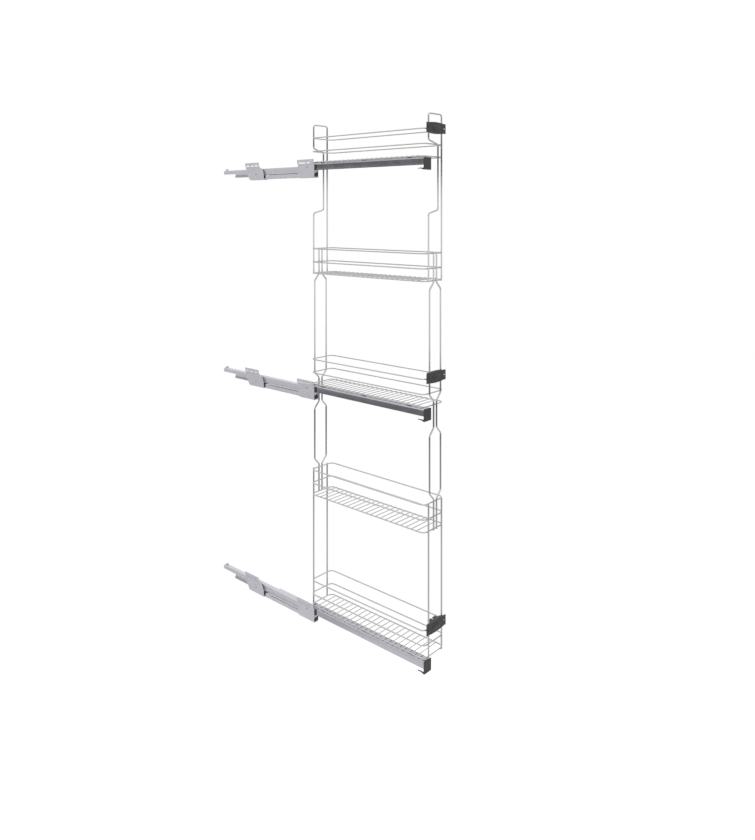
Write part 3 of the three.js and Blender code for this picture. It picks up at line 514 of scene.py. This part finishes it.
# Fixed rails: 1.5 mm zinc-plated strip, roll-formed into a narrow open track above and a wider
# channel below, with a tab bent up at the back that stops the moving rail. The channel ends
# inside the rear bracket, and only the track runs on.
RUNNERS = ("lower", "middle", "upper")
SHEET_EDGE = 0.0002
SHEET_FOLD = 0.0013  # width of the facet that stands for a fold
FOLD_EASE = 0.4  # the share of that facet that each of its edges gives up
HALF_TURN = (30, 60)  # a fold or a round hole turns by so many degrees at each edge
FLAT = 1  # faces that turn by fewer degrees are one
ALIGNED = 0.999  # a direction counts as an axis from this share of its length
FINE_SEAM = 0.000002
CUT_SNAP = 0.0000001
SLOT = ((-0.0001, 0.069, 0.0139), (0.0017, 0.226, 0.0157))  # under the ledge, from the lowest near corner
MOUTH_TABS = (  # in the rail's mouth, from that corner: one beside the path of the hook, one over it
    ((-0.0001, -0.0022, 0.0131), (0.0018, 0.0, 0.0232)),
    ((0.0015, -0.0022, 0.0159), (0.0117, -0.0016, 0.0232)),
)
ZINC = ((0.47, 0.465, 0.505), (0.585, 0.58, 0.62))

zinc = Finish("zinc_sheet")
blotches = zinc.cloud(45, 4)
rolled = zinc.cloud(500, 3, (1, 0.03, 1))
crystals = zinc.cells(520, "Distance")
spangle = zinc.cells(330, "Color")
zinc.set(Base_Color=zinc.mix(0.5 * blotches + 0.2 * crystals + 0.3 * spangle, *ZINC))
zinc.set(Metallic=0.55, Roughness=0.35 + 0.08 * rolled + 0.09 * spangle)
zinc.bump(0.6 * rolled + 0.4 * crystals, 0.00004)


def eased_copy(node, edge_radius, fold_facet=0, hole_round=0):
    """A copy of a solid with its sharp edges eased, its folds rounded and its holes made rounder."""
    made = bmesh.new()
    made.from_mesh(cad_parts[node].data)
    bmesh.ops.remove_doubles(made, verts=made.verts, dist=FINE_SEAM)
    bmesh.ops.dissolve_limit(made, angle_limit=math.radians(FLAT), verts=made.verts, edges=made.edges)
    least, most = (math.radians(angle) for angle in HALF_TURN)

    def picked(test):
        return [edge for edge in made.edges if len(edge.link_faces) == 2 and test(edge)]

    def along(edge, axis):
        return abs((edge.verts[1].co - edge.verts[0].co).normalized()[axis]) > ALIGNED

    def half_turn(edge):
        return least < edge.calc_face_angle(0) < most

    if hole_round:
        walls = picked(lambda edge: along(edge, 0) and half_turn(edge) and not edge.is_convex)
        ease(made, walls, hole_round)
    if fold_facet:
        folds = picked(lambda edge: along(edge, 1) and half_turn(edge) and edge.is_convex)
        ease(made, folds, fold_facet * FOLD_EASE)
    sharp = picked(lambda edge: edge.calc_face_angle(0) > most and edge.is_convex)
    ease(made, sharp, edge_radius)
    return made


def add_plate(made, low, high, lean=0, edge_radius=SHEET_EDGE):
    """Adds a small flat plate between two corners, its top leaning over along X."""
    size = high - low
    lean_over = Matrix.Identity(4)
    lean_over[0][2] = lean / size.z
    shape = Matrix.Translation((low + high) / 2) @ lean_over @ Matrix.Diagonal((*size, 1))
    corners = bmesh.ops.create_cube(made, size=1, matrix=shape)["verts"]
    ease(made, dict.fromkeys(edge for corner in corners for edge in corner.link_edges), edge_radius)


def cut_slot(made, low, high):
    """Opens a slot between two corners through a wall that faces along X."""

    def wall(face):
        return abs(face.normal.x) > ALIGNED and low.x < face.calc_center_median().x < high.x

    for axis in ((0, 1, 0), (0, 0, 1)):
        for place in (low, high):
            faces = [face for face in made.faces if wall(face)]
            edges = dict.fromkeys(edge for face in faces for edge in face.edges)
            corners = dict.fromkeys(corner for face in faces for corner in face.verts)
            cut = {"geom": [*faces, *edges, *corners], "dist": CUT_SNAP}
            bmesh.ops.bisect_plane(made, plane_co=place, plane_no=axis, **cut)
    middle = (low + high) / 2
    reach = (high - low) / 2
    opened = []
    for face in made.faces:
        offset = face.calc_center_median() - middle
        if wall(face) and abs(offset.y) < reach.y and abs(offset.z) < reach.z:
            opened.append(face)
    rim = [edge for face in opened for edge in face.edges]
    bmesh.ops.delete(made, geom=opened, context="FACES_ONLY")
    bmesh.ops.bridge_loops(made, edges=rim)


for runner in RUNNERS:
    node = f"{runner}_fixed_rail"
    rail = eased_copy(node, SHEET_EDGE, SHEET_FOLD)
    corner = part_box(node)[0]
    cut_slot(rail, *(corner + Vector(reach) for reach in SLOT))
    for low, high in MOUTH_TABS:
        add_plate(rail, corner + Vector(low), corner + Vector(high))
    fit(rail, f"{node}_formed", zinc, "wall_side", "zinc_sheet", node)


# Wall brackets: pressed from the same zinc-plated sheet. A flange screws flat to the cabinet
# side, a row of windows stands under it, and the plate steps out beside the rail and turns
# under it as a foot. A lip leans in behind each window. The rear plate has a swept front edge.
WINDOWS = {"front": (0.035, 0.0165), "rear": (0.0183, 0.0183, 0.0183)}  # lengths, from the back
WINDOW_TAB = 0.0045
HOLE_ROUND = 0.0004
LIP_SHEET = (0.0041, 0.0053)  # from the wall to the two faces of a lip's foot
LIP_HEIGHTS = (-0.0171, -0.0127)  # from the top of the flange
LIP_LEAN = 0.0014
LIP_MARGIN = 0.0006  # from a lip to each end of its window

for runner in RUNNERS:
    for end in ENDS:
        node = f"{runner}_{end}_bracket"
        bracket = eased_copy(node, SHEET_EDGE, SHEET_FOLD, HOLE_ROUND)
        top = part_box(node)[1].z
        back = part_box(node)[1].y - WINDOW_TAB
        for window in WINDOWS[end]:
            near, far = (side + LIP_LEAN / 2 for side in LIP_SHEET)
            low = Vector((near, back - window + LIP_MARGIN, top + LIP_HEIGHTS[0]))
            high = Vector((far, back - LIP_MARGIN, top + LIP_HEIGHTS[1]))
            add_plate(bracket, low, high, LIP_LEAN)
            back -= window + WINDOW_TAB
        fit(bracket, f"{node}_pressed", zinc, "wall_side", "zinc_sheet", node)


# Moving rails: a cover of smoother cold-rolled strip, folded over the rest of the runner with
# round edges. Three welded pads on its top carry the basket floor.
COVER_FOLD = 0.0022
BRIGHT = ((0.37, 0.36, 0.40), (0.47, 0.46, 0.50))

bright = Finish("bright_rail")
patches = bright.cloud(25, 4)
drawn = bright.cloud(550, 3, (1, 0.02, 1))
bright.set(Base_Color=bright.mix(patches, *BRIGHT))
bright.set(Metallic=1, Roughness=0.07 + 0.06 * drawn + 0.05 * patches)
bright.bump(drawn, 0.00002)

for runner in RUNNERS:
    node = f"{runner}_carriage_rail"
    rail = eased_copy(node, SHEET_EDGE, COVER_FOLD)
    fit(rail, f"{node}_formed", bright, "tower", "bright_rail", node)


# Middle members and roller cages: a rolled steel I-section between the two rails, and two thin
# cages of hardened rollers that run on its edges. They stay out of sight inside the rails
# except at their ends.
HARDENED = ((0.52, 0.53, 0.54), (0.62, 0.63, 0.64))

hardened = Finish("roller_steel")
ground = hardened.cloud(900, 2, (0.1, 1, 1))
hardened.set(Base_Color=hardened.mix(ground, *HARDENED))
hardened.set(Metallic=1, Roughness=0.18 + 0.10 * ground)
hardened.bump(ground, 0.00001)

for runner in RUNNERS:
    inner_parts = {"middle_member": zinc, "fixed_roller_cage": hardened, "moving_roller_cage": hardened}
    for part, finish in inner_parts.items():
        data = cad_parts[f"{runner}_{part}"].data
        data.materials.clear()
        data.materials.append(finish.material)


# Front guides: dark plastic inserts, moulded to fill the mouth of each fixed rail. A strip
# steadies the moving rail, and a ledge below takes the hook of the end cap when the door is shut.
GUIDE_EDGE = 0.0002
ANTHRACITE = ((0.017, 0.017, 0.018), (0.029, 0.029, 0.031))

plastic = Finish("anthracite_plastic")
grain = plastic.cloud(2600, 2)
flow = plastic.cloud(90, 2)
plastic.set(Base_Color=plastic.mix(flow, *ANTHRACITE))
plastic.set(Roughness=0.42 + 0.16 * grain)
plastic.bump(grain, 0.00005)

for runner in RUNNERS:
    node = f"{runner}_front_guide"
    guide = eased_copy(node, GUIDE_EDGE)
    fit(guide, f"{node}_moulded", plastic, "wall_side", "anthracite_plastic", node)


# Soft-close dampers: slim housings of grey plastic, moulded and pushed into the back of the
# lower channel. They catch the unit over the last stretch of its travel.
MOULDED_EDGE = 0.0004
GREY = ((0.26, 0.26, 0.275), (0.34, 0.34, 0.355))

grey = Finish("grey_plastic")
soft_grain = grey.cloud(2200, 2)
grey_flow = grey.cloud(70, 2)
grey.set(Base_Color=grey.mix(grey_flow, *GREY))
grey.set(Roughness=0.40 + 0.14 * soft_grain)
grey.bump(soft_grain, 0.00004)

for runner in RUNNERS:
    node = f"{runner}_damper"
    fit(eased_copy(node, MOULDED_EDGE), f"{node}_housing", grey, "wall_side", "grey_plastic", node)


# End caps: dark plastic mouldings over the front ends of the moving rails. Each has a plug
# inside the rail and a springy hook below that catches in the front guide.
for runner in RUNNERS:
    node = f"{runner}_end_cap"
    fit(eased_copy(node, MOULDED_EDGE), f"{node}_moulded", plastic, "tower", "anthracite_plastic", node)


# Door brackets: dark plastic mouldings clipped over both front wires, bowed at top and bottom,
# with two fingers that reach back over the basket's top rail. The ears carry slots for the
# screws that hold the door, so it can be set sideways before they are tightened.
BRACKET_EDGE = 0.0005
FINGERS = ((-0.011, 0.006), (0.0115, 0.0265))  # their sides, from the middle of the bracket
FINGER_HEIGHTS = (0.0068, 0.0102)  # above that middle
FINGER_ROOT = 0.001  # how far inside the bracket's back they start
FINGER_REACH = 0.0165
FINGER_EDGE = 0.0012

for runner in RUNNERS:
    node = f"{runner}_door_bracket"
    bracket = eased_copy(node, BRACKET_EDGE)
    low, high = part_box(node)
    middle = (low + high) / 2
    for left, right in FINGERS:
        root = Vector((middle.x + left, high.y - FINGER_ROOT, middle.z + FINGER_HEIGHTS[0]))
        tip = Vector((middle.x + right, high.y + FINGER_REACH, middle.z + FINGER_HEIGHTS[1]))
        add_plate(bracket, root, tip, edge_radius=FINGER_EDGE)
    fit(bracket, f"{node}_moulded", plastic, "tower", "anthracite_plastic", node)
